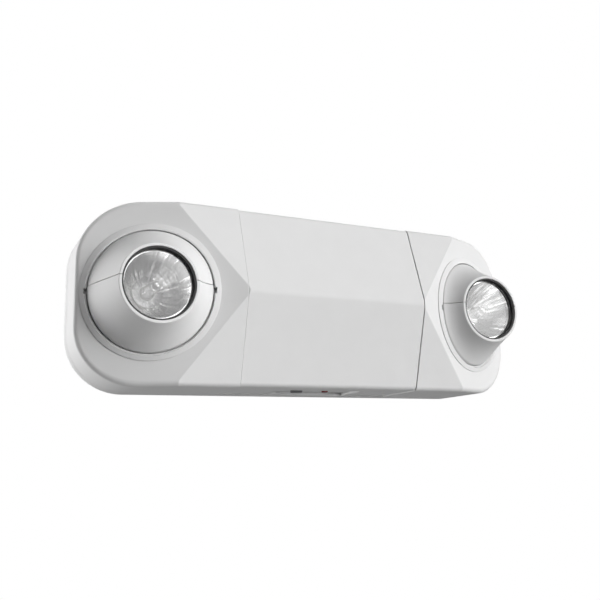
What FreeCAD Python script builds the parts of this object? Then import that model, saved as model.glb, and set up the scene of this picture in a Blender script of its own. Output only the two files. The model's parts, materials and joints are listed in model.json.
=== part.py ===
"""Twin-head emergency light. Millimetres: X right, Y into the wall, Z up, wall plane at Y = 0."""
import FreeCAD, Part
import math
import os

from FreeCAD import Vector

# housing
HALF_LENGTH = 178.0
HALF_HEIGHT = 63.5
CORNER_R = 41.0
RIDGE_CLEAR = 15.4
HIP_CLEAR = 14.2
RIDGE_DEPTH = 83.0
EAVE_DEPTH = 64.0
EAVE_R = 4.0
RIDGE_R = 8.0
WALL = 2.5
PLATE_DEPTH = 8.0
PLATE_SEAM = 0.5
TONGUE = 1.6
TONGUE_GAP = 0.25
TONGUE_DEPTH = 13.0
FACE_GAP = 0.3

# reach of cutting bodies, how far a cut runs past its face, and how near counts as touching
FAR = 200.0
OVERCUT = 1.0
NEAR = 0.01

# centre cover, which lies a little below the housing's face
COVER_PAST_RIDGE = 2.0
COVER_SHY = 0.5
COVER_WALL = 1.6
COVER_GAP = 0.35
COVER_BACK = 15.0
SADDLE_WALL = 1.5
SADDLE_MARGIN = 4.0
WINDOW_MARGIN = 19.5
WINDOW_BACK = 56.0
NOTCH_HALF = 33.0
NOTCH_FRONT = 46.0
SNAP_X = 50.0
SNAP_WIDTH = 12.0
SNAP_LENGTH = 4.0
SNAP_DEPTH = 1.7
SNAP_BACK = 18.0

# lamp head: local x points level to the ridge, y up, z out of the facet
HEAD_SKEW = 21.6
FACET_MARGIN = 2.585
BASE_RISE = 1.7
PIVOT_DROP = 5.0
BALL_R = 41.8
SKIRT_DEPTH = 25.0
HEAD_WALL = 2.2
LIP_H = 24.0
LIP_R = 26.2
LIP_ROUND = 0.8
BASE_ROUND = 1.2
WAIST_H = 12.0
WAIST_IN = 9.2
SHELL_SEAM_Y = 3.5
SHELL_SEAM = 0.45
BOSS_SINK = 4.6
BOSS_Z = -14.0
BOSS_R = 4.2
BOSS_LENGTH = 7.0
BOSS_HOLE = 4.5

# swivel ring, its trunnion slots and its retainer
RING_GAP = 0.35
RING_WALL = 2.85
RING_FLANGE = 1.8
RING_EDGE = 0.6
RING_CROWN = 1.2
RING_MOUTH = 0.75
RING_MOUTH_DROP = 0.65
RING_MOUTH_DEPTH = 2.1
RING_DEPTH = 11.0
RING_SEAT = 0.05
RING_FIT = 0.08
TRUNNION_R = 2.0
TRUNNION_REACH = 1.75
TRUNNION_GAP = 0.1
RETAINER_WALL = 1.45
RETAINER_DEPTH = 5.2

# lamp, heights along its own axis from the head's base plane
RIM_R = 25.0
RIM_THICK = 1.2
RIM_WIDTH = 1.6
RIM_ROOM = 0.2
BORE_R = 24.4
SEAT_R = 24.3
SEAT_LOW = 15.6
SEAT_TOP = 17.7
SEAT_GAP = 0.1
GLASS_LOW = 19.0
GLASS_TOP = 20.6
GLASS_R = 24.6
GASKET_IN = 22.9
GASKET_R = 24.2
GASKET_SLEEVE = 1.0
GASKET_BASE = 1.0
GASKET_TOP = 23.4
NECK_H = -9.2
NECK_R = 8.2
BOWL_WALL = 1.2
BOWL_STEPS = 8
CAPSULE_R = 4.2
CAPSULE_TOP = 16.0
LAMP_BASE_HALF = 7.5
LAMP_BASE_LENGTH = 10.0
LAMP_BLOCK_R = 1.5
HOLDER_HALF_X = 9.0
HOLDER_HALF_Y = 6.5
HOLDER_LENGTH = 9.0
HOLDER_FLOOR = 2.0
PIN_R = 0.75
PIN_LENGTH = 6.0
PIN_SPACING = 5.3

# screws
SCREW_R = 1.4
SCREW_HEAD_R = 2.6
SCREW_HEAD_H = 1.8
SCREW_FIT = 0.05
SCREW_REACH = 4.0
SCREW_TIP_ROOM = 0.5

# battery, strap and leads
BATTERY_X = 101.0
BATTERY_Y = 47.0
BATTERY_HEADROOM = 3.6
BATTERY_LID = 5.0
BATTERY_LID_STEP = 1.5
BATTERY_R = 2.0
TAB_LENGTH = 6.0
TAB_WIDTH = 6.3
TAB_THICK = 0.8
TAB_INSET = 12.0
TAB_BACK = 18.0
TAB_FRONT = 34.0
STRAP_THICK = 1.2
STRAP_WIDTH = 18.0
STRAP_RISE = 26.0
STRAP_FOOT = 12.0
LEAD_R = 1.1
LEAD_RUN = 2.0
LEAD_BEND = 7.0

# charger board, between the underside and the battery
BOARD_HALF = 70.0
BOARD_LIFT = 9.6
BOARD_THICK = 1.6
BOARD_BACK = 6.0
BOARD_FRONT = 46.0
BOARD_ROOM = 34.4
BOARD_SCREW_INSET = 6.0
SHELF_X = 62.0
SHELF_WIDTH = 7.0
SHELF_TIP = 3.0
SHELF_ROOT = 8.0
LEDGE_X = 32.0
LEDGE_WIDTH = 4.0
LEDGE_THICK = 3.0
LEDGE_REACH = 40.0

# pieces on the board: centre, then size
CORE_AT = (-37.0, -30.0)
CORE_SIZE = (36.0, 24.0, 24.0)
CORE_LIFT = 2.0
BOBBIN_SIZE = (18.0, 32.0, 22.0)
BOBBIN_R = 3.0
RELAY_AT = (40.0, -36.5)
RELAY_SIZE = (20.0, 15.0, 15.0)
RELAY_R = 0.8
CAN_X = (-8.0, 4.0)
CAN_Y = -38.0
CAN_R = 5.0
CAN_HEIGHT = 16.0
CAN_ROUND = 0.8
BLOCK_AT = (17.5, -19.0)
BLOCK_SIZE = (15.0, 10.0, 10.0)
BLOCK_PITCH = 5.0
BLOCK_MOUTH = (3.2, 5.0, 3.5)
BLOCK_MOUTH_LIFT = 1.5
BLOCK_SCREW_R = 1.8
BLOCK_SCREW_DEPTH = 2.0
FUSE_AT = (42.0, -22.0)
FUSE_LENGTH = 20.0
FUSE_LIFT = 3.2
FUSE_R = 2.4
FUSE_CAP_R = 2.6
FUSE_CAP = 5.0
FUSE_CLIP = (4.0, 5.6)

# underside controls
BUTTON_X = -12.0
PIPE_X = 12.0
CONTROL_Y = 28.0
CONTROL_ROUND = 0.6
BUTTON_R = 4.5
BUTTON_FIT = 0.1
BUTTON_SHY = 0.2
BUTTON_FLANGE_R = 6.0
BUTTON_FLANGE = 1.4
BUTTON_STEM_R = 2.0
PIPE_R = 2.5
PIPE_SHY = 0.7
PIPE_STEP = 0.5
PIPE_FLANGE = 1.5
SWITCH_HALF = 3.0
SWITCH_HEIGHT = 4.0
PLUNGER_R = 1.7
PLUNGER_FIT = 0.08
PLUNGER_OUT = 1.0
PLUNGER_IN = 1.2
PLUNGER_BORE = 2.5
LED_LENGTH = 4.2
LED_COLLAR = 1.0

# wall fixings
BOX_HOLE_X = 44.45
BOX_HOLE_R = 2.4
ENTRY_RISE = 16.4
ENTRY_R = 11.0
KEYHOLE_X = 95.0
KEYHOLE_Z = 28.0
KEYHOLE_R = 4.5
KEYHOLE_SLOT_R = 2.3
KEYHOLE_RISE = 8.0

# what follows from the sizes above
WAIST_R = BALL_R - WAIST_IN
RING_IN = BALL_R + RING_GAP
RING_HUB = RING_IN + RING_WALL
RING_OUT = RING_HUB + RING_FLANGE
RIDGE_HALF = HALF_LENGTH - 2 * RING_OUT - RIDGE_CLEAR
HIP_HALF = HALF_LENGTH - RING_OUT - HIP_CLEAR
FRONT_TAN = (RIDGE_DEPTH - EAVE_DEPTH) / HALF_HEIGHT
HIP_TAN = (RIDGE_DEPTH - EAVE_DEPTH) / (HIP_HALF - RIDGE_HALF)
HIP_ANGLE = math.atan(HIP_TAN)
COVER_HALF = RIDGE_HALF + COVER_PAST_RIDGE
COVER_LEG = HALF_HEIGHT - COVER_SHY - COVER_WALL
SADDLE_DROP = COVER_SHY + COVER_WALL + FACE_GAP
INNER_HALF = HALF_HEIGHT - SADDLE_DROP - SADDLE_WALL
BOARD_LOW = BOARD_LIFT - INNER_HALF
BOARD_TOP = BOARD_LOW + BOARD_THICK
BATTERY_LOW = BOARD_TOP + BOARD_ROOM
BATTERY_TOP = INNER_HALF - BATTERY_HEADROOM
BATTERY_BACK = -WALL - FACE_GAP
BATTERY_FRONT = BATTERY_BACK - BATTERY_Y
STRAP_LOW = BATTERY_LOW + STRAP_RISE
ENTRY_Z = BOARD_TOP + ENTRY_RISE
TRUNNION_END = RING_IN + TRUNNION_REACH
BOSS_X = BALL_R - HEAD_WALL - BOSS_SINK
HEAD_X = HALF_LENGTH - FACET_MARGIN - RING_OUT * math.cos(HIP_ANGLE)
HEAD_BASE = Vector(0, 0, BASE_RISE)
PIVOT = Vector(0, 0, -PIVOT_DROP)
SKEW = math.radians(HEAD_SKEW)
AIM = Vector(math.sin(SKEW), 0, math.cos(SKEW))
LAMP_FRAME = FreeCAD.Placement(HEAD_BASE, FreeCAD.Rotation(Vector(0, 0, 1), AIM))


def box(x0, x1, y0, y1, z0, z1):
    corner = Vector(min(x0, x1), min(y0, y1), min(z0, z1))
    return Part.makeBox(abs(x1 - x0), abs(y1 - y0), abs(z1 - z0), corner)


def polygon(points):
    return Part.Face(Part.makePolygon([Vector(*p) for p in points + points[:1]]))


def rod(r, start, end):
    along = end - start
    return Part.makeCylinder(r, along.Length, start, along)


def revolved(points):
    """Turn an outline of (radius, height) points about the z axis."""
    return polygon([(r, 0, z) for r, z in points]).revolve(Vector(0, 0, 0), Vector(0, 0, 1), 360)


def edges_along(shape, axis):
    """Straight edges that run along an axis."""
    found = []
    for edge in shape.Edges:
        if len(edge.Vertexes) == 2:
            along = edge.Vertexes[1].Point - edge.Vertexes[0].Point
            if along.cross(axis).Length < NEAR:
                found.append(edge)
    return found


def screws(points, into, length):
    """Pan-head screws with their heads seated at the given points."""
    made = []
    for at in points:
        head = rod(SCREW_HEAD_R, at - into * SCREW_HEAD_H, at)
        made.append(head.fuse(rod(SCREW_R, at, at + into * length)))
    return Part.makeCompound(made)


def rounded_rect(half_x, half_z, r):
    """Face in the wall plane with round corners."""
    prism = box(-half_x, half_x, 0, 1, -half_z, half_z)
    rounded = prism.makeFillet(r, edges_along(prism, Vector(0, 1, 0)))
    return next(f for f in rounded.Faces if abs(f.CenterOfMass.y) < NEAR)


def gable_prism(grow):
    """The two front slopes and the round ridge between them, offset by grow."""
    ridge = RIDGE_DEPTH + grow * math.hypot(1, FRONT_TAN)
    eave = ridge - FRONT_TAN * FAR
    outline = [(0, -FAR), (-eave, -FAR), (-ridge, 0), (-eave, FAR), (0, FAR)]
    prism = polygon([(-FAR, y, z) for y, z in outline]).extrude(Vector(2 * FAR, 0, 0))
    lengthwise = edges_along(prism, Vector(1, 0, 0))
    crest = min(lengthwise, key=lambda e: e.CenterOfMass.y)
    return prism.makeFillet(RIDGE_R + grow, [crest])


def hip_prism(grow):
    """The two end facets, offset by grow."""
    peak = RIDGE_DEPTH + HIP_TAN * RIDGE_HALF + grow * math.hypot(1, HIP_TAN)
    end = peak - HIP_TAN * FAR
    outline = [(-FAR, 0), (-FAR, -end), (0, -peak), (FAR, -end), (FAR, 0)]
    return polygon([(x, y, -FAR) for x, y in outline]).extrude(Vector(0, 0, 2 * FAR))


def hip_body(grow, back):
    """The housing's outer form, offset by grow, from the depth back to its roof."""
    outline = rounded_rect(HALF_LENGTH + grow, HALF_HEIGHT + grow, CORNER_R + grow)
    outline.translate(Vector(0, -back, 0))
    body = outline.extrude(Vector(0, -FAR, 0))
    return body.common(gable_prism(grow)).common(hip_prism(grow)).removeSplitter()


def round_eaves(body, back):
    """Round the edges where the side walls meet the roof."""
    eaves = []
    for edge in body.Edges:
        first, last = edge.Vertexes[0].Point, edge.Vertexes[-1].Point
        along_y = math.hypot(first.x - last.x, first.z - last.z) < NEAR
        on_side = any(abs(f.normalAt(0, 0).y) < NEAR for f in body.ancestorsOfType(edge, Part.Face))
        if on_side and not along_y and edge.CenterOfMass.y < -back - OVERCUT:
            eaves.append(edge)
    return body.makeFillet(EAVE_R, eaves)


def middle(half, back):
    """Everything in front of the depth back, half to each side of the centre."""
    return box(-half, half, -FAR, -back, -FAR, FAR)


def snap_blocks(start, end, room):
    """Blocks between two heights where the cover's legs snap in, wider by room."""
    half = SNAP_WIDTH / 2 + room
    back, front = SNAP_BACK - room, SNAP_BACK + SNAP_LENGTH + room
    blocks = []
    for x in (-SNAP_X, SNAP_X):
        for side in (-1, 1):
            blocks.append(box(x - half, x + half, -front, -back, side * start, side * end))
    return blocks


def control_hole(x, r):
    return rod(r, Vector(x, -CONTROL_Y, -FAR), Vector(x, -CONTROL_Y, BOARD_LOW))


def front_housing():
    back = PLATE_DEPTH + PLATE_SEAM
    saddle_back = COVER_BACK - FACE_GAP
    recess = middle(COVER_HALF + COVER_GAP, saddle_back).cut(hip_body(-SADDLE_DROP, 0))
    body = round_eaves(hip_body(0, back), back).cut(recess)
    thick_part = middle(COVER_HALF + SADDLE_MARGIN, saddle_back - SADDLE_WALL / 2)
    body = body.cut(hip_body(-WALL, 0).cut(thick_part))
    body = body.cut(hip_body(-SADDLE_DROP - SADDLE_WALL, 0))
    window_x, window_z = COVER_HALF - WINDOW_MARGIN, HALF_HEIGHT - WINDOW_MARGIN
    body = body.cut(box(-window_x, window_x, -FAR, -WINDOW_BACK, -window_z, window_z))
    body = body.cut(control_hole(BUTTON_X, BUTTON_R + BUTTON_FIT))
    body = body.cut(control_hole(PIPE_X, PIPE_R + BUTTON_FIT))
    for slot in snap_blocks(COVER_LEG, INNER_HALF - OVERCUT, FACE_GAP):
        body = body.cut(slot)
    opening = rod(RING_HUB + RING_FIT, Vector(0, 0, -RING_DEPTH), Vector(0, 0, RING_DEPTH))
    for placed in both_sides(opening):
        body = body.cut(placed)
    return body


def centre_cover():
    body = round_eaves(hip_body(-COVER_SHY, COVER_BACK), COVER_BACK)
    body = body.common(middle(COVER_HALF, 0)).cut(hip_body(-COVER_SHY - COVER_WALL, 0))
    body = body.cut(box(-NOTCH_HALF, NOTCH_HALF, -NOTCH_FRONT, 0, -FAR, 0))
    for hook in snap_blocks(COVER_LEG + COVER_WALL / 2, COVER_LEG - SNAP_DEPTH, 0):
        body = body.fuse(hook)
    return body


def plate_ring(inset, wall, depth):
    """Wall that follows the housing outline from the wall plane to a depth."""
    outer = rounded_rect(HALF_LENGTH - inset, HALF_HEIGHT - inset, CORNER_R - inset)
    within = inset + wall
    inner = rounded_rect(HALF_LENGTH - within, HALF_HEIGHT - within, CORNER_R - within)
    return outer.cut(inner).extrude(Vector(0, -depth, 0))


def keyhole(x):
    low = Vector(x, 0, KEYHOLE_Z)
    top = low + Vector(0, 0, KEYHOLE_RISE)
    through = Vector(0, -2 * WALL, 0)
    hole = rod(KEYHOLE_R, low - through, low + through)
    slot = rod(KEYHOLE_SLOT_R, top - through, top + through)
    neck = box(x - KEYHOLE_SLOT_R, x + KEYHOLE_SLOT_R, through.y, -through.y, low.z, top.z)
    return hole.fuse(slot).fuse(neck)


def shelf(x):
    """Gusset that carries one end of the charger board."""
    root, tip = BOARD_LOW - SHELF_ROOT, BOARD_LOW - SHELF_TIP
    start = WALL / 2
    outline = [(-start, root), (-start, BOARD_LOW), (-BOARD_FRONT, BOARD_LOW), (-BOARD_FRONT, tip)]
    rib = polygon([(x - SHELF_WIDTH / 2, y, z) for y, z in outline])
    return rib.extrude(Vector(SHELF_WIDTH, 0, 0))


def battery_ledge(x):
    top = BATTERY_LOW - FACE_GAP
    half = LEDGE_WIDTH / 2
    return box(x - half, x + half, -WALL / 2, -LEDGE_REACH, top - LEDGE_THICK, top)


def board_screw_points():
    rows = (BOARD_BACK + BOARD_SCREW_INSET, BOARD_FRONT - BOARD_SCREW_INSET)
    return [Vector(x, -y, BOARD_TOP) for x in (-SHELF_X, SHELF_X) for y in rows]


def strap_screw_points():
    reach = BATTERY_X / 2 + FACE_GAP + STRAP_THICK + STRAP_FOOT / 2
    return [Vector(x, -WALL - STRAP_THICK, STRAP_LOW + STRAP_WIDTH / 2) for x in (-reach, reach)]


def rear_plate():
    outline = rounded_rect(HALF_LENGTH, HALF_HEIGHT, CORNER_R)
    plate = outline.extrude(Vector(0, -WALL, 0)).fuse(plate_ring(0, WALL + TONGUE, PLATE_DEPTH))
    plate = plate.fuse(plate_ring(WALL + TONGUE_GAP, TONGUE, TONGUE_DEPTH))
    for side in (-1, 1):
        plate = plate.fuse(shelf(side * SHELF_X)).fuse(battery_ledge(side * LEDGE_X))
        plate = plate.cut(keyhole(side * KEYHOLE_X))
    through = Vector(0, -2 * WALL, 0)
    for x, r in ((-BOX_HOLE_X, BOX_HOLE_R), (0, ENTRY_R), (BOX_HOLE_X, BOX_HOLE_R)):
        at = Vector(x, 0, ENTRY_Z)
        plate = plate.cut(rod(r, at - through, at + through))
    hole_r = SCREW_R + SCREW_FIT
    for at in board_screw_points():
        plate = plate.cut(rod(hole_r, at, at - Vector(0, 0, BOARD_THICK + SCREW_REACH)))
    for at in strap_screw_points():
        plate = plate.cut(rod(hole_r, at, at + Vector(0, STRAP_THICK + WALL - SCREW_TIP_ROOM, 0)))
    return plate.removeSplitter()


def battery_case():
    half = BATTERY_X / 2
    case = box(-half, half - BATTERY_LID, BATTERY_FRONT, BATTERY_BACK, BATTERY_LOW, BATTERY_TOP)
    case = case.makeFillet(BATTERY_R, edges_along(case, Vector(1, 0, 0)))
    step = BATTERY_LID_STEP
    lid = box(half - BATTERY_LID - step, half, BATTERY_FRONT + step, BATTERY_BACK - step, BATTERY_LOW + step,
              BATTERY_TOP - step)
    return case.fuse(lid)


def tab_points():
    """Root of each terminal tab on the battery's lid."""
    x = BATTERY_X / 2
    return [Vector(x, -TAB_BACK, BATTERY_LOW + TAB_INSET), Vector(x, -TAB_FRONT, BATTERY_TOP - TAB_INSET)]


def battery_terminals():
    tabs = []
    for at in tab_points():
        half = TAB_WIDTH / 2
        tabs.append(box(at.x, at.x + TAB_LENGTH, at.y - half, at.y + half, at.z, at.z + TAB_THICK))
    return Part.makeCompound(tabs)


def battery_leads():
    """Two wires that leave the terminal tabs level, bend down and end on the charger board."""
    leads = []
    for tab in tab_points():
        root = tab + Vector(TAB_LENGTH, 0, TAB_THICK / 2)
        bend_start = root + Vector(LEAD_RUN, 0, 0)
        bend_end = bend_start + Vector(LEAD_BEND, 0, -LEAD_BEND)
        foot = Vector(bend_end.x, bend_end.y, BOARD_TOP)
        diagonal = LEAD_BEND * math.sqrt(0.5)
        bend_middle = bend_start + Vector(diagonal, 0, diagonal - LEAD_BEND)
        bend = Part.Arc(bend_start, bend_middle, bend_end).toShape()
        path = Part.Wire([Part.makeLine(root, bend_start), bend, Part.makeLine(bend_end, foot)])
        ring = Part.Wire(Part.makeCircle(LEAD_R, root, Vector(1, 0, 0)))
        leads.append(path.makePipeShell([ring], True, False))
    return Part.makeCompound(leads)


def battery_strap():
    inner = BATTERY_X / 2 + FACE_GAP
    outer = inner + STRAP_THICK
    foot = outer + STRAP_FOOT
    front = BATTERY_FRONT - FACE_GAP
    back, top = -WALL, -WALL - STRAP_THICK
    outline = [
        (-foot, back), (-inner, back), (-inner, front), (inner, front), (inner, back), (foot, back),
        (foot, top), (outer, top), (outer, front - STRAP_THICK),
        (-outer, front - STRAP_THICK), (-outer, top), (-foot, top),
    ]
    strap = polygon([(x, y, STRAP_LOW) for x, y in outline]).extrude(Vector(0, 0, STRAP_WIDTH))
    for at in strap_screw_points():
        strap = strap.cut(rod(SCREW_R + SCREW_FIT, at, at + Vector(0, STRAP_THICK, 0)))
    return strap


def charger_board():
    board = box(-BOARD_HALF, BOARD_HALF, -BOARD_FRONT, -BOARD_BACK, BOARD_LOW, BOARD_TOP)
    for at in board_screw_points():
        board = board.cut(rod(SCREW_R + SCREW_FIT, at, at - Vector(0, 0, BOARD_THICK)))
    return board


def on_board(at, size, lift=0.0):
    """Block centred on a point of the board, at a height above it."""
    x, y = at
    w, d, h = size
    low = BOARD_TOP + lift
    return box(x - w / 2, x + w / 2, y - d / 2, y + d / 2, low, low + h)


def transformer():
    """Laminated core with the winding's bobbin through it."""
    bobbin = on_board(CORE_AT, BOBBIN_SIZE)
    bobbin = bobbin.makeFillet(BOBBIN_R, edges_along(bobbin, Vector(0, 1, 0)))
    return on_board(CORE_AT, CORE_SIZE, CORE_LIFT).fuse(bobbin).removeSplitter()


def relay():
    case = on_board(RELAY_AT, RELAY_SIZE)
    return case.makeFillet(RELAY_R, [e for e in case.Edges if e.CenterOfMass.z > BOARD_TOP + RELAY_R])


def capacitors():
    cans = []
    for x in CAN_X:
        can = Part.makeCylinder(CAN_R, CAN_HEIGHT, Vector(x, CAN_Y, BOARD_TOP))
        top = [e for e in can.Edges if e.CenterOfMass.z > BOARD_TOP + CAN_HEIGHT - CAN_ROUND]
        cans.append(can.makeFillet(CAN_ROUND, top))
    return Part.makeCompound(cans)


def terminal_block():
    """Three-way screw block, its wire mouths facing the entry hole."""
    block = on_board(BLOCK_AT, BLOCK_SIZE)
    x, y = BLOCK_AT
    mouth_y = y + BLOCK_SIZE[1] / 2
    top = BOARD_TOP + BLOCK_SIZE[2]
    for way in (-1, 0, 1):
        way_x = x + way * BLOCK_PITCH
        block = block.cut(on_board((way_x, mouth_y), BLOCK_MOUTH, BLOCK_MOUTH_LIFT))
        screw = Vector(way_x, y - BLOCK_SCREW_R / 2, top)
        block = block.cut(rod(BLOCK_SCREW_R, screw, screw - Vector(0, 0, BLOCK_SCREW_DEPTH)))
    return block


def fuse():
    """Glass fuse between its end caps, in two clips."""
    x, y = FUSE_AT
    z = BOARD_TOP + FUSE_LIFT
    half = FUSE_LENGTH / 2
    body = rod(FUSE_R, Vector(x - half, y, z), Vector(x + half, y, z))
    for side in (-1, 1):
        end, start = x + side * half, x + side * (half - FUSE_CAP)
        body = body.fuse(rod(FUSE_CAP_R, Vector(start, y, z), Vector(end, y, z)))
        body = body.fuse(on_board(((start + end) / 2, y), FUSE_CLIP + (FUSE_LIFT,)))
    return body


def test_switch():
    low = BOARD_LOW - SWITCH_HEIGHT
    half = SWITCH_HALF
    case = box(BUTTON_X - half, BUTTON_X + half, -CONTROL_Y - half, -CONTROL_Y + half, low, BOARD_LOW)
    mouth = Vector(BUTTON_X, -CONTROL_Y, low)
    return case.cut(rod(PLUNGER_R + PLUNGER_FIT, mouth, mouth + Vector(0, 0, PLUNGER_BORE)))


def switch_plunger():
    mouth = Vector(BUTTON_X, -CONTROL_Y, BOARD_LOW - SWITCH_HEIGHT)
    return rod(PLUNGER_R, mouth - Vector(0, 0, PLUNGER_OUT), mouth + Vector(0, 0, PLUNGER_IN))


def control(x, r, shy, top, stem_r, flange_r):
    """Round piece through the underside, held by a flange inside, its face short of the cover by shy."""
    at = Vector(x, -CONTROL_Y, 0)
    up = Vector(0, 0, 1)
    face, seat = COVER_SHY + shy - HALF_HEIGHT, FACE_GAP - INNER_HALF
    body = rod(r, at + up * face, at + up * seat)
    body = body.makeFillet(CONTROL_ROUND, [e for e in body.Edges if e.CenterOfMass.z < face + CONTROL_ROUND])
    body = body.fuse(rod(flange_r, at + up * seat, at + up * (seat + BUTTON_FLANGE)))
    return body.fuse(rod(stem_r, at + up * seat, at + up * top)).removeSplitter()


def test_button():
    top = BOARD_LOW - SWITCH_HEIGHT - PLUNGER_OUT
    return control(BUTTON_X, BUTTON_R, BUTTON_SHY, top, BUTTON_STEM_R, BUTTON_FLANGE_R)


def light_pipe():
    top = BOARD_LOW - LED_LENGTH - FACE_GAP
    return control(PIPE_X, PIPE_R, PIPE_SHY, top, PIPE_R - PIPE_STEP, PIPE_R + PIPE_FLANGE)


def status_lamp():
    at = Vector(PIPE_X, -CONTROL_Y, BOARD_LOW)
    r = PIPE_R - PIPE_STEP
    tip = at - Vector(0, 0, LED_LENGTH - r)
    body = rod(r, at, tip).fuse(Part.makeSphere(r, tip))
    return body.fuse(rod(PIPE_R, at, at - Vector(0, 0, LED_COLLAR))).removeSplitter()


def both_sides(shape):
    """A head piece on the left facet and its mirror on the right one."""
    depth = EAVE_DEPTH - (HEAD_X - HIP_HALF) * HIP_TAN
    c, s = math.cos(HIP_ANGLE), math.sin(HIP_ANGLE)
    facet = FreeCAD.Matrix(c, 0, -s, -HEAD_X, -s, 0, -c, -depth, 0, 1, 0, 0, 0, 0, 0, 1)
    left = shape.copy()
    left.Placement = FreeCAD.Placement(facet).multiply(shape.Placement)
    return left, left.mirror(Vector(0, 0, 0), Vector(1, 0, 0))


def on_axis(h):
    """Point of the lamp axis at a height above the head's base plane."""
    return HEAD_BASE + AIM * h


def lamp_spun(points):
    """Turn an outline of (radius, height) points about the lamp axis."""
    spun = revolved(points)
    spun.Placement = LAMP_FRAME
    return spun


def flare(inset):
    """Skewed trumpet from the base circle to the lip, drawn in by inset."""
    half_aim = Vector(math.sin(SKEW / 2), 0, math.cos(SKEW / 2))
    base_r = math.sqrt((BALL_R - inset) ** 2 - (BASE_RISE + PIVOT_DROP) ** 2)
    wires = []
    for r, at, normal in (
        (base_r, HEAD_BASE, Vector(0, 0, 1)),
        (WAIST_R - inset, on_axis(WAIST_H), half_aim),
        (LIP_R - inset, on_axis(LIP_H), AIM),
    ):
        wires.append(Part.Wire(Part.makeCircle(r, at, normal)))
    return Part.makeLoft(wires, True, False)


def skirt(r):
    """Ball about the pivot, kept between the skirt's edge and the base plane."""
    slab = rod(FAR, Vector(0, 0, -SKIRT_DEPTH), HEAD_BASE)
    return Part.makeSphere(r, PIVOT).common(slab)


def head_body():
    """Both head shells as one, with the seat and groove that hold the lamp."""
    outer = flare(0)
    lip = [e for e in outer.Edges if (e.CenterOfMass - on_axis(LIP_H)).Length < NEAR]
    outer = outer.makeFillet(LIP_ROUND, lip).fuse(skirt(BALL_R))
    base = [e for e in outer.Edges if (e.CenterOfMass - HEAD_BASE).Length < NEAR]
    outer = outer.makeFillet(BASE_ROUND, base)
    below_seat = rod(FAR, on_axis(-FAR), on_axis(SEAT_LOW))
    hollow = flare(HEAD_WALL).common(below_seat).fuse(skirt(BALL_R - HEAD_WALL))
    hollow = hollow.fuse(rod(SEAT_R, on_axis(0), on_axis(SEAT_TOP)))
    hollow = hollow.fuse(rod(RIM_R + RIM_ROOM, on_axis(SEAT_TOP), on_axis(GLASS_TOP + SEAT_GAP)))
    hollow = hollow.fuse(rod(BORE_R, on_axis(GLASS_TOP), on_axis(LIP_H + OVERCUT)))
    return outer.cut(hollow)


def boss_points():
    """Where the two screws join the shells, behind the lamp on either side."""
    return [Vector(x, SHELL_SEAM_Y, BOSS_Z) for x in (-BOSS_X, BOSS_X)]


def head_shells():
    """Upper and lower shell, with their screw bosses and the lower one's trunnions."""
    body = head_body()
    up = Vector(0, 1, 0)
    top, bottom = SHELL_SEAM_Y + SHELL_SEAM / 2, SHELL_SEAM_Y - SHELL_SEAM / 2
    upper = body.common(box(-FAR, FAR, top, FAR, -FAR, FAR))
    lower = body.common(box(-FAR, FAR, -FAR, bottom, -FAR, FAR))
    inside = Part.makeSphere(BALL_R - HEAD_WALL / 2, PIVOT)
    for at in boss_points():
        upper = upper.fuse(rod(BOSS_R, at + up * (SHELL_SEAM / 2), at + up * BOSS_LENGTH).common(inside))
        lower = lower.fuse(rod(BOSS_R, at - up * BOSS_LENGTH, at - up * (SHELL_SEAM / 2)).common(inside))
        hole = rod(SCREW_R + SCREW_FIT, at - up * BOSS_LENGTH, at + up * BOSS_HOLE)
        upper = upper.cut(hole)
        lower = lower.cut(hole)
    for side in (-1, 1):
        root = PIVOT + Vector(side * (BALL_R - HEAD_WALL), 0, 0)
        lower = lower.fuse(rod(TRUNNION_R, root, PIVOT + Vector(side * TRUNNION_END, 0, 0)))
    return upper, lower


def shell_screws():
    up = Vector(0, 1, 0)
    seats = [at - up * BOSS_LENGTH for at in boss_points()]
    return screws(seats, up, BOSS_LENGTH + SCREW_REACH)


def swivel_ring():
    """Ring with a sloping face, a mouth that is wider below, and two slots for the trunnions."""
    ring = revolved([
        (RING_IN, -RING_DEPTH), (RING_HUB, -RING_DEPTH), (RING_HUB, RING_SEAT), (RING_OUT, RING_SEAT),
        (RING_OUT, RING_EDGE), (RING_IN + RING_CROWN, BASE_RISE), (RING_IN, BASE_RISE),
    ])
    mouth_at = Vector(0, -RING_MOUTH_DROP, BASE_RISE - RING_MOUTH_DEPTH)
    ring = ring.cut(Part.makeCone(RING_IN, RING_IN + RING_MOUTH, RING_MOUTH_DEPTH, mouth_at))
    r = TRUNNION_R + TRUNNION_GAP
    end = TRUNNION_END + TRUNNION_GAP
    for side in (-1, 1):
        bottom = rod(r, PIVOT + Vector(side * BALL_R, 0, 0), PIVOT + Vector(side * end, 0, 0))
        slot = box(side * BALL_R, side * end, -r, r, -PIVOT_DROP, BASE_RISE + OVERCUT)
        ring = ring.cut(bottom).cut(slot)
    return ring


def ring_retainer():
    bore = RING_HUB + SCREW_FIT
    top = -WALL - FACE_GAP
    low = top - RETAINER_DEPTH
    return revolved([(bore, low), (bore + RETAINER_WALL, low), (bore + RETAINER_WALL, top), (bore, top)])


def bowl_curve(r_rim, r_neck, high):
    """Points of the reflector's bowl, a parabola from neck to rim."""
    points = []
    for i in range(BOWL_STEPS + 1):
        t = i / BOWL_STEPS
        points.append((r_neck + (r_rim - r_neck) * math.sqrt(t), NECK_H + (high - NECK_H) * t))
    return points


def lamp_reflector():
    rim_low = GLASS_LOW - RIM_THICK
    outer_r = RIM_R - RIM_WIDTH
    outer = bowl_curve(outer_r, NECK_R, rim_low)
    inner = bowl_curve(outer_r - BOWL_WALL, NECK_R - BOWL_WALL, GLASS_LOW)
    return lamp_spun(outer + [(RIM_R, rim_low), (RIM_R, GLASS_LOW)] + inner[::-1])


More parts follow.
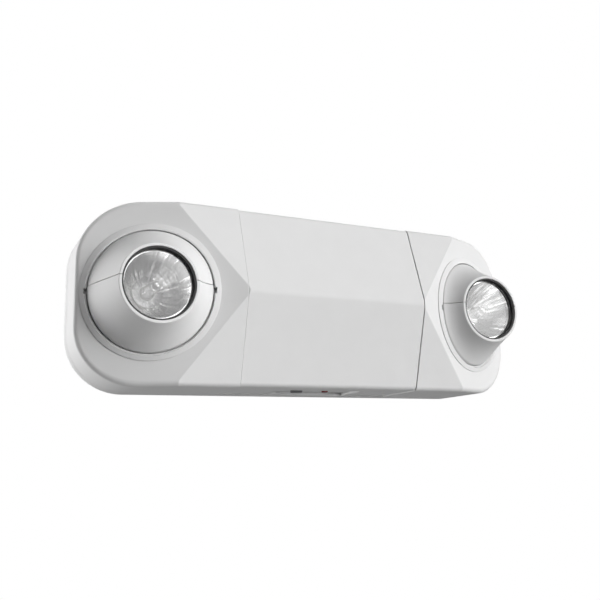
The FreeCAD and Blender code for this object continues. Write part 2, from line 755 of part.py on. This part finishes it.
def lamp_glass():
    return rod(GLASS_R, on_axis(GLASS_LOW), on_axis(GLASS_TOP))


def lamp_gasket():
    """Dark sleeve in the mouth of the head, with a foot on the glass."""
    foot, sleeve = GLASS_TOP + GASKET_BASE, GASKET_R - GASKET_SLEEVE
    return lamp_spun([
        (GASKET_IN, GLASS_TOP), (GASKET_R, GLASS_TOP), (GASKET_R, GASKET_TOP), (sleeve, GASKET_TOP),
        (sleeve, foot), (GASKET_IN, foot),
    ])


def lamp_capsule():
    tip = on_axis(CAPSULE_TOP - CAPSULE_R)
    return rod(CAPSULE_R, on_axis(NECK_H), tip).fuse(Part.makeSphere(CAPSULE_R, tip)).removeSplitter()


def lamp_block(half_x, half_y, low, high):
    """Block with rounded upright edges, square on the lamp axis."""
    block = box(-half_x, half_x, -half_y, half_y, low, high)
    block = block.makeFillet(LAMP_BLOCK_R, edges_along(block, Vector(0, 0, 1)))
    block.Placement = LAMP_FRAME
    return block


def lamp_pins(r, low, high):
    side = Vector(0, PIN_SPACING / 2, 0)
    return [rod(r, on_axis(low) + side * k, on_axis(high) + side * k) for k in (-1, 1)]


def lamp_base():
    low = NECK_H - LAMP_BASE_LENGTH
    base = lamp_block(LAMP_BASE_HALF, LAMP_BASE_HALF, low, NECK_H)
    for pin in lamp_pins(PIN_R, low - PIN_LENGTH, low + OVERCUT):
        base = base.fuse(pin)
    return base


def lamp_holder():
    top = NECK_H - LAMP_BASE_LENGTH - SEAT_GAP
    low = top - HOLDER_LENGTH
    holder = lamp_block(HOLDER_HALF_X, HOLDER_HALF_Y, low, top)
    for socket in lamp_pins(PIN_R + SCREW_FIT, low + HOLDER_FLOOR, top + OVERCUT):
        holder = holder.cut(socket)
    return holder


def save(name, shape):
    shape.exportStep("parts/" + name + ".step")


def save_both(name, shape):
    for side, placed in zip(("left", "right"), both_sides(shape)):
        save(side + "_" + name, placed)


def main():
    os.makedirs("parts", exist_ok=True)
    save("rear_plate", rear_plate())
    save("front_housing", front_housing())
    save("centre_cover", centre_cover())
    save("battery_case", battery_case())
    save("battery_terminals", battery_terminals())
    save("battery_leads", battery_leads())
    save("battery_strap", battery_strap())
    strap_reach = STRAP_THICK + WALL - 2 * SCREW_TIP_ROOM
    save("strap_screws", screws(strap_screw_points(), Vector(0, 1, 0), strap_reach))
    save("charger_board", charger_board())
    board_reach = BOARD_THICK + SCREW_REACH - SCREW_TIP_ROOM
    save("board_screws", screws(board_screw_points(), Vector(0, 0, -1), board_reach))
    save("transformer", transformer())
    save("relay", relay())
    save("capacitors", capacitors())
    save("terminal_block", terminal_block())
    save("fuse", fuse())
    save("test_switch", test_switch())
    save("switch_plunger", switch_plunger())
    save("status_lamp", status_lamp())
    save("test_button", test_button())
    save("light_pipe", light_pipe())
    upper, lower = head_shells()
    save_both("upper_shell", upper)
    save_both("lower_shell", lower)
    save_both("shell_screws", shell_screws())
    save_both("swivel_ring", swivel_ring())
    save_both("ring_retainer", ring_retainer())
    save_both("lamp_gasket", lamp_gasket())
    save_both("lamp_glass", lamp_glass())
    save_both("lamp_reflector", lamp_reflector())
    save_both("lamp_capsule", lamp_capsule())
    save_both("lamp_base", lamp_base())
    save_both("lamp_holder", lamp_holder())


main()
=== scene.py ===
import json
import math
import random

import bpy
from mathutils import Matrix, Vector


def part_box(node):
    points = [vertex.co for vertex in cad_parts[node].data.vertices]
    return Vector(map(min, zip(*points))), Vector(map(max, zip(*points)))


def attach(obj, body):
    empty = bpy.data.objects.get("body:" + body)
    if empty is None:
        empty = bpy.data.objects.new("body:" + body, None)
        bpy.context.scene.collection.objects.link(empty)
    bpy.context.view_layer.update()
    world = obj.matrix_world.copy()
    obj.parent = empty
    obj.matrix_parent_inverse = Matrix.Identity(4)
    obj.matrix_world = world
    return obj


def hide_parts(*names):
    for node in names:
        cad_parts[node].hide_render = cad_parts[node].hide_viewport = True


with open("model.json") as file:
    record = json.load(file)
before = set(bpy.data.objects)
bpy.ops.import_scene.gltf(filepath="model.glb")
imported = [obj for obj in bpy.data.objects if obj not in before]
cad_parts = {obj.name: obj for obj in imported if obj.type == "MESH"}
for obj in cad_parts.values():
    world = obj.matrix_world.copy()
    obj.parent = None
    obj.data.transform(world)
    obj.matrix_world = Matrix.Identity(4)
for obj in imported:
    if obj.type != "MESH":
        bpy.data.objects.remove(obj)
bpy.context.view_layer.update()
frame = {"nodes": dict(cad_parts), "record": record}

nodes = frame["nodes"]
scene = bpy.context.scene

# camera found from the photo's edges: metres, degrees and millimetres of lens
CAMERA_AT = Vector((-0.25914, -0.54243, -0.11454))
CAMERA_YAW = 26.13
CAMERA_PITCH = 12.14
CAMERA_ROLL = -1.6
CAMERA_LENS = 45.47
SENSOR_WIDTH = 36

# studio light: degrees right of the front, degrees up, sharpness and strength of each broad lobe
LIGHT_LOBES = [
    (12, 4, 30, 2.4),
    (36, 4, 30, 10.6),
    (60, 10, 30, 1.2),
    (20, 40, 16, 2.1),
    (-141, 5, 30, 11.0),
    (-141, 40, 20, 5.2),
    (-133, -24, 20, 5.2),
]

# what mirrors see: the same lobes fainter, one soft card and an even ground
MIRRORED_LOBES = 0.30
MIRRORED_CARD = (15, 45, 8, 1.4)
MIRRORED_GROUND = 0.14

# floor far below the object, in metres
FLOOR_DROP = 1.5
FLOOR_SIZE = 3.0
FLOOR_COLOUR = (0.30, 0.30, 0.30)
FLOOR_ROUGHNESS = 0.9

# solid stuff of each slot, with the size and depth of its grain and the softening of its edges in metres
SOLID_STUFF = {
    "white_moulding": dict(
        colour=(0.80, 0.80, 0.80), rough=0.64, grain=0.0009, depth=0.00002, edge=0.0008, specular=0.12),
    "white_head": dict(
        colour=(0.82, 0.82, 0.82), rough=0.54, grain=0.0007, depth=0.000012, edge=0.0004, specular=0.15),
    "battery_plastic": dict(
        colour=(0.045, 0.045, 0.05), rough=0.55, grain=0.0008, depth=0.00004, edge=0.0005),
    "tinned_tabs": dict(colour=(0.70, 0.70, 0.68), rough=0.30, grain=0.0005, depth=0.00001, metallic=1.0),
    "steel": dict(colour=(0.60, 0.61, 0.63), rough=0.32, grain=0.0006, depth=0.00001, metallic=1.0),
    "board": dict(colour=(0.05, 0.25, 0.09), rough=0.35, grain=0.0010, depth=0.00002, spread=0.10),
    "core": dict(colour=(0.12, 0.11, 0.11), rough=0.45, grain=0.0012, depth=0.00005, spread=0.12),
    "black_plastic": dict(colour=(0.025, 0.025, 0.026), rough=0.38, grain=0.0008, depth=0.00002),
    "green_plastic": dict(colour=(0.06, 0.33, 0.12), rough=0.35, grain=0.0008, depth=0.00002),
    "lead_cover": dict(colour=(0.035, 0.035, 0.04), rough=0.50, grain=0.0006, depth=0.00002),
    "button_plastic": dict(colour=(0.16, 0.16, 0.17), rough=0.32, grain=0.0006, depth=0.00001),
    "black_rubber": dict(colour=(0.05, 0.05, 0.05), rough=0.62, grain=0.0006, depth=0.00003),
    "white_ceramic": dict(colour=(0.45, 0.45, 0.44), rough=0.60, grain=0.0008, depth=0.00003),
}

# clear stuff of each slot, with the share of light that its film holds back
CLEAR_STUFF = {
    "red_lens": dict(body=(0.22, 0.03, 0.03), rough=0.10, film=0.85, mirror=0.0),
    "clear_glass": dict(body=(0.97, 0.97, 0.97), rough=0.03, film=0.07),
    "capsule_glass": dict(body=(0.90, 0.90, 0.90), rough=0.05, film=0.40),
}

# metal of the reflectors, with a painted reflection: each facet's colour is set at random from the
# dullest to the brightest
FACET_METAL = dict(dull=0.86, bright=0.99, rough=0.15)

# noise in the materials: its waves per metre, and how far it changes colour and roughness
MOTTLE_SCALE = 60.0
GRAIN_DETAIL = 3.0
GRAIN_ROUGHNESS = 0.06
WIPE_SCALE = 120.0
WIPE_TINT = 0.03
WIPE_ROUGHNESS = 0.04
HAZE_SCALE = 300.0
HAZE_ROUGHNESS = 0.04
SPECKLE_SCALE = 8.0
SPECKLE_TINT = 0.02
EDGE_SAMPLES = 6

# reflector: its wall, the inside radius of its neck, and its facets
BOWL_WALL = 0.0012
BOWL_RIM = 0.0016
NECK_R = 0.0052
FACETS_AROUND = 56
FACET_ROWS = 9
FACET_DEPTH = 0.0003
FACET_SEED = 7
# name of the painted reflection: a random brightness kept for each facet
FACET_PAINTED_REFLECTION = "facet_painted_reflection"

# faces that meet at more than this many degrees keep a crisp edge
CRISP_EDGE = 28


def node(tree, kind, **values):
    """A new node with its settings."""
    made = tree.nodes.new(kind)
    for key, value in values.items():
        setattr(made, key, value)
    return made


def noise(tree, scale, detail=2.0):
    """A noise value in the piece's own metres."""
    coords = node(tree, "ShaderNodeTexCoord")
    made = node(tree, "ShaderNodeTexNoise")
    made.inputs["Scale"].default_value = scale
    made.inputs["Detail"].default_value = detail
    tree.links.new(coords.outputs["Object"], made.inputs["Vector"])
    return made.outputs["Fac"]


def ranged(tree, source, low, high):
    """Map a 0 to 1 value onto low to high."""
    made = node(tree, "ShaderNodeMapRange")
    made.inputs["To Min"].default_value = low
    made.inputs["To Max"].default_value = high
    tree.links.new(source, made.inputs["Value"])
    return made.outputs["Result"]


def tinted(tree, source, colour, spread):
    """A colour that a 0 to 1 value darkens and lightens by spread."""
    made = node(tree, "ShaderNodeMix", data_type="RGBA")
    made.inputs["A"].default_value = tuple(c * (1 - spread) for c in colour) + (1,)
    made.inputs["B"].default_value = tuple(min(1, c * (1 + spread)) for c in colour) + (1,)
    tree.links.new(source, made.inputs["Factor"])
    return made.outputs["Result"]


def new_material(name):
    """A material, its node tree and its shader."""
    made = bpy.data.materials.new(name)
    made.use_nodes = True
    shader = made.node_tree.nodes["Principled BSDF"]
    return made, made.node_tree, shader


def grained(name, colour, rough, grain, depth, spread=0.02, metallic=0.0, edge=0.0, specular=0.4):
    """Solid stuff with a faint mottle, a grain and, where asked, softened edges."""
    made, tree, shader = new_material(name)
    mottle = noise(tree, MOTTLE_SCALE)
    fine = noise(tree, 1 / grain, GRAIN_DETAIL)
    sheen = ranged(tree, fine, rough - GRAIN_ROUGHNESS, rough + GRAIN_ROUGHNESS)
    tree.links.new(tinted(tree, mottle, colour, spread), shader.inputs["Base Color"])
    tree.links.new(sheen, shader.inputs["Roughness"])
    shader.inputs["Metallic"].default_value = metallic
    shader.inputs["Specular IOR Level"].default_value = specular
    bump = node(tree, "ShaderNodeBump")
    bump.inputs["Strength"].default_value = 1.0
    bump.inputs["Distance"].default_value = depth
    tree.links.new(fine, bump.inputs["Height"])
    if edge:
        soft = node(tree, "ShaderNodeBevel", samples=EDGE_SAMPLES)
        soft.inputs["Radius"].default_value = edge
        tree.links.new(soft.outputs["Normal"], bump.inputs["Normal"])
    tree.links.new(bump.outputs["Normal"], shader.inputs["Normal"])
    return made


def clear(name, body, rough, film, mirror=1.0):
    """Clear stuff: a faint film of its gloss, or of its body, and light straight through the rest."""
    made, tree, shader = new_material(name)
    wipe = noise(tree, WIPE_SCALE)
    tree.links.new(tinted(tree, wipe, body, WIPE_TINT), shader.inputs["Base Color"])
    tree.links.new(ranged(tree, wipe, rough, rough + WIPE_ROUGHNESS), shader.inputs["Roughness"])
    shader.inputs["Metallic"].default_value = mirror
    shader.inputs["Alpha"].default_value = film
    return made


def facet_metal(name, dull, bright, rough):
    """Bright metal with a painted reflection: each facet's colour is set at random, as if it caught the
    light a little differently.
    """
    made, tree, shader = new_material(name)
    # the painted reflection picks each facet's metal colour between dull and bright
    each = node(tree, "ShaderNodeAttribute", attribute_name=FACET_PAINTED_REFLECTION)
    haze = noise(tree, HAZE_SCALE)
    sheen = ranged(tree, haze, rough - HAZE_ROUGHNESS, rough + HAZE_ROUGHNESS)
    tree.links.new(ranged(tree, each.outputs["Fac"], dull, bright), shader.inputs["Base Color"])
    tree.links.new(sheen, shader.inputs["Roughness"])
    shader.inputs["Metallic"].default_value = 1.0
    return made


def make_materials():
    """The materials, each under the name of its slot."""
    made = {}
    for name, stuff in SOLID_STUFF.items():
        made[name] = grained(name, **stuff)
    for name, stuff in CLEAR_STUFF.items():
        made[name] = clear(name, **stuff)
    made["bright_reflector"] = facet_metal("bright_reflector", **FACET_METAL)
    return made


def paint(piece, material):
    """Give a piece one material."""
    piece.data.materials.clear()
    piece.data.materials.append(material)


def paint_nodes(materials):
    """Give each node the material of its slot in the record."""
    for entry in frame["record"]["subparts"]:
        paint(nodes[entry["node"]], materials[entry["material_slot"]])


def smooth_shading():
    """Round faces shade smoothly and true edges stay crisp."""
    for piece in nodes.values():
        piece.data.shade_smooth()
        piece.data.set_sharp_from_angle(angle=math.radians(CRISP_EDGE))


def ring_points(axis_x, radii, y):
    """Points round a lamp's axis, each at its own radius."""
    points = []
    for i, r in enumerate(radii):
        a = 2 * math.pi * i / FACETS_AROUND
        points.append((axis_x + r * math.cos(a), y, r * math.sin(a)))
    return points


def bowl_rings(rim_r, rim_y, neck_y, flutes):
    """Radii and depths of the bowl: its fluted inside, its rim and its smooth back."""
    bowl_r = rim_r - BOWL_RIM - BOWL_WALL
    back_y = rim_y + BOWL_WALL
    shares = [row / FACET_ROWS for row in range(FACET_ROWS + 1)]
    rings = []
    for t in shares:
        r = NECK_R + (bowl_r - NECK_R) * math.sqrt(t)
        rings.append(([r - depth for depth in flutes], neck_y + (rim_y - neck_y) * t))
    for y in (rim_y, back_y):
        rings.append(([rim_r] * FACETS_AROUND, y))
    for t in reversed(shares):
        r = NECK_R + BOWL_WALL + (bowl_r - NECK_R) * math.sqrt(t)
        rings.append(([r] * FACETS_AROUND, neck_y + (back_y - neck_y) * t))
    return rings


def faceted_bowl(side, material):
    """The reflector with flat facets in uneven flutes, in place of the smooth one."""
    name = side + "_lamp_reflector"
    low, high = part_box(name)
    axis_x = (low.x + high.x) / 2
    chance = random.Random(FACET_SEED)
    flutes = [FACET_DEPTH * chance.random() for _ in range(FACETS_AROUND)]
    rings = bowl_rings((high.x - low.x) / 2, low.y, high.y, flutes)
    points, faces = [], []
    for radii, y in rings:
        points += ring_points(axis_x, radii, y)
    for row in range(len(rings) - 1):
        for i in range(FACETS_AROUND):
            a = row * FACETS_AROUND + i
            b = row * FACETS_AROUND + (i + 1) % FACETS_AROUND
            faces.append((a, b, b + FACETS_AROUND, a + FACETS_AROUND))
    mesh = bpy.data.meshes.new(side + "_bowl")
    mesh.from_pydata(points, [], faces)
    # a random painted reflection for each facet, which sets its metal colour
    painted_reflections = mesh.attributes.new(FACET_PAINTED_REFLECTION, "FLOAT", "FACE")
    for face in painted_reflections.data:
        face.value = chance.random()
    bowl = bpy.data.objects.new(side + "_bowl", mesh)
    scene.collection.objects.link(bowl)
    paint(bowl, material)
    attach(bowl, side + "_head")
    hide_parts(name)


def reckoned(tree, operation, source, *numbers):
    """A sum done on one linked value with plain numbers."""
    made = node(tree, "ShaderNodeMath", operation=operation)
    tree.links.new(source, made.inputs[0])
    for place, number in enumerate(numbers, start=1):
        made.inputs[place].default_value = number
    return made.outputs["Value"]


def added(tree, values):
    """All the linked values added up."""
    level = values[0]
    for value in values[1:]:
        more = node(tree, "ShaderNodeMath", operation="ADD")
        tree.links.new(level, more.inputs[0])
        tree.links.new(value, more.inputs[1])
        level = more.outputs["Value"]
    return level


def picked(tree, chooser, first, second):
    """The first value where the chooser is 0, the second where it is 1."""
    made = node(tree, "ShaderNodeMix", data_type="FLOAT")
    tree.links.new(chooser, made.inputs["Factor"])
    tree.links.new(first, made.inputs["A"])
    tree.links.new(second, made.inputs["B"])
    return made.outputs["Result"]


def lobe(tree, azimuth, elevation, sharpness, strength):
    """Light that is strongest from one direction and falls off round it."""
    turn, rise = math.radians(azimuth), math.radians(elevation)
    direction = (math.sin(turn) * math.cos(rise), -math.cos(turn) * math.cos(rise), math.sin(rise))
    coords = node(tree, "ShaderNodeTexCoord")
    towards = node(tree, "ShaderNodeVectorMath", operation="DOT_PRODUCT")
    towards.inputs[1].default_value = direction
    tree.links.new(coords.outputs["Generated"], towards.inputs[0])
    ahead = reckoned(tree, "MAXIMUM", towards.outputs["Value"], 0.0)
    shaped = reckoned(tree, "POWER", ahead, sharpness)
    return reckoned(tree, "MULTIPLY", shaped, strength)


def studio_world():
    """White behind the object, broad lobes for its light, and a fainter picture of them in mirrors."""
    world = bpy.data.worlds.new("studio")
    world.use_nodes = True
    scene.world = world
    tree = world.node_tree
    light = added(tree, [lobe(tree, *each) for each in LIGHT_LOBES])
    fainter = reckoned(tree, "MULTIPLY_ADD", light, MIRRORED_LOBES, MIRRORED_GROUND)
    mirrored = added(tree, [fainter, lobe(tree, *MIRRORED_CARD)])
    white = node(tree, "ShaderNodeValue").outputs["Value"]
    white.default_value = 1.0
    path = node(tree, "ShaderNodeLightPath")
    level = picked(tree, path.outputs["Is Glossy Ray"], light, mirrored)
    level = picked(tree, path.outputs["Is Camera Ray"], level, white)
    shade = tree.nodes["Background"]
    shade.inputs["Color"].default_value = (1, 1, 1, 1)
    tree.links.new(level, shade.inputs["Strength"])


def studio_floor():
    """A pale floor far below, white where it is seen."""
    made, tree, shader = new_material("floor")
    speckle = noise(tree, SPECKLE_SCALE)
    tree.links.new(tinted(tree, speckle, FLOOR_COLOUR, SPECKLE_TINT), shader.inputs["Base Color"])
    shader.inputs["Roughness"].default_value = FLOOR_ROUGHNESS
    white = node(tree, "ShaderNodeEmission")
    mix = node(tree, "ShaderNodeMixShader")
    tree.links.new(node(tree, "ShaderNodeLightPath").outputs["Is Camera Ray"], mix.inputs["Fac"])
    tree.links.new(shader.outputs["BSDF"], mix.inputs[1])
    tree.links.new(white.outputs["Emission"], mix.inputs[2])
    tree.links.new(mix.outputs["Shader"], tree.nodes["Material Output"].inputs["Surface"])
    half = FLOOR_SIZE / 2
    corners = [(-half, -half, 0), (half, -half, 0), (half, half, 0), (-half, half, 0)]
    mesh = bpy.data.meshes.new("floor")
    mesh.from_pydata(corners, [], [(0, 1, 2, 3)])
    piece = bpy.data.objects.new("floor", mesh)
    piece.location = (0, 0, -FLOOR_DROP)
    scene.collection.objects.link(piece)
    paint(piece, made)


def camera():
    """The camera at the photo's viewing angle."""
    yaw, pitch, roll = (math.radians(v) for v in (CAMERA_YAW, CAMERA_PITCH, CAMERA_ROLL))
    ahead = Vector((math.sin(yaw) * math.cos(pitch), math.cos(yaw) * math.cos(pitch), math.sin(pitch)))
    level = Vector((math.cos(yaw), -math.sin(yaw), 0))
    above = level.cross(ahead)
    right = level * math.cos(roll) + above * math.sin(roll)
    up = above * math.cos(roll) - level * math.sin(roll)
    made = bpy.data.cameras.new("camera")
    made.lens = CAMERA_LENS
    made.sensor_width = SENSOR_WIDTH
    piece = bpy.data.objects.new("camera", made)
    turn = Matrix((right, up, -ahead)).transposed().to_4x4()
    piece.matrix_world = Matrix.Translation(CAMERA_AT) @ turn
    scene.collection.objects.link(piece)
    scene.camera = piece


materials = make_materials()
paint_nodes(materials)
smooth_shading()
for side in ("left", "right"):
    faceted_bowl(side, materials["bright_reflector"])
studio_world()
studio_floor()
camera()
scene.view_settings.view_transform = "Standard"
